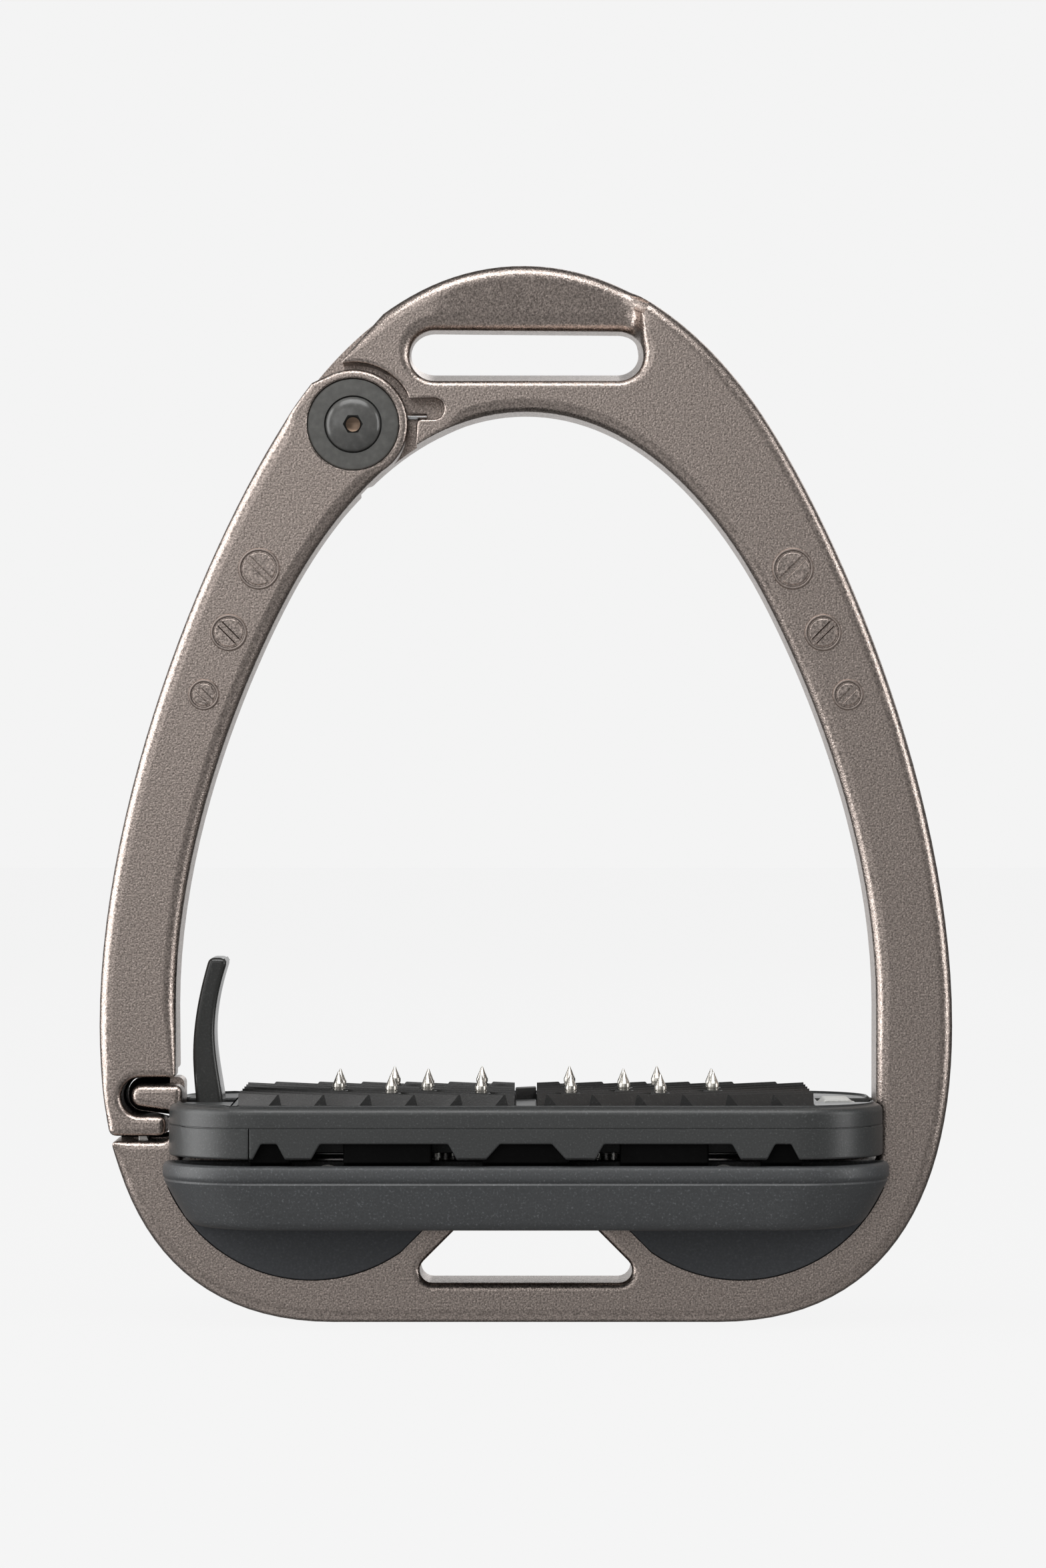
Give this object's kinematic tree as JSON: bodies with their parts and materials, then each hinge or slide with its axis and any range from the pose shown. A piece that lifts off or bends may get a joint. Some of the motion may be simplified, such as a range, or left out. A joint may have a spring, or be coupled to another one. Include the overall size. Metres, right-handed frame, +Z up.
{
  "type": "safety stirrup iron",
  "caption": "Arched stirrup iron with a slot for the leather, an outer side arm that swings open, a release lever and a sprung, studded footbed.",
  "frame": {"origin": "middle of the flat underside of the base, on the ground line", "axes": "+X across the foot opening away from the arm that opens, +Y from the front to the back of the iron, +Z up to the eye for the leather"},
  "size_m": [0.1472, 0.057, 0.1825],
  "materials": {
    "anodised_alloy": "bead-blasted satin anodising, warm gunmetal",
    "stainless_steel": "satin stainless steel",
    "turned_stainless": "turned stainless steel with fine rings",
    "black_steel": "satin black coated screw head",
    "black_cap": "satin dark grey cap",
    "white_nylon": "natural nylon",
    "bright_spring_wire": "bright spring wire",
    "satin_black_plastic": "satin black glass-filled nylon, fine spark texture",
    "grip_rubber": "grainy black grip compound",
    "elastomer": "smooth black elastomer",
    "slate_black_plastic": "matt slate black, speckled",
    "blue_black_plastic": "matt blue black",
    "light_grey_plastic": "matt light grey"
  },
  "bodies": {
    "iron": {"frame": "anodised_alloy", "pivot_sleeve": "stainless_steel", "pivot_screw": "black_steel", "hub_cap": "black_cap", "pivot_washer": "white_nylon", "torsion_spring": "bright_spring_wire", "lever_pin": "stainless_steel", "lever_spring": "bright_spring_wire", "shoulder_screws": "stainless_steel", "tray_front": "slate_black_plastic", "tray_rear": "slate_black_plastic", "tray_screws": "stainless_steel", "pad_centre_front": "elastomer", "pad_centre_rear": "elastomer", "pad_inner_left_front": "elastomer", "pad_inner_right_front": "elastomer", "pad_inner_left_rear": "elastomer", "pad_inner_right_rear": "elastomer", "pad_outer_left_front": "elastomer", "pad_outer_right_front": "elastomer", "pad_outer_left_rear": "elastomer", "pad_outer_right_rear": "elastomer", "cheek_left_front": "blue_black_plastic", "cheek_right_front": "blue_black_plastic", "cheek_left_rear": "blue_black_plastic", "cheek_right_rear": "blue_black_plastic"},
    "arm": {"side_arm": "anodised_alloy"},
    "lever": {"release_lever": "satin_black_plastic", "catch_blade": "stainless_steel"},
    "tread": {"tread_plate": "satin_black_plastic", "lever_end_cover": "satin_black_plastic", "slot_plug": "light_grey_plastic", "tread_insert_left": "grip_rubber", "tread_insert_right": "grip_rubber", "studs_left": "turned_stainless", "studs_right": "turned_stainless"}
  },
  "joints": [
    {"name": "arm_hinge", "type": "hinge", "parent": "iron", "child": "arm", "pos_m": [-0.0298, 0, 0.1549], "axis": [0, 1, 0], "range_deg": [0, 60]},
    {"name": "lever_hinge", "type": "hinge", "parent": "iron", "child": "lever", "pos_m": [-0.0545, 0, 0.0315], "axis": [0, -1, 0], "range_deg": [0, 7.5], "stiffness_Nm_per_rad": 0.06},
    {"name": "tread_slide", "type": "slide", "parent": "iron", "child": "tread", "axis": [0, 0, -1], "range_m": [0, 0.001], "stiffness_N_per_m": 40000, "deforming": ["pad_centre_front", "pad_centre_rear", "pad_inner_left_front", "pad_inner_right_front", "pad_inner_left_rear", "pad_inner_right_rear", "pad_outer_left_front", "pad_outer_right_front", "pad_outer_left_rear", "pad_outer_right_rear"]}
  ]
}
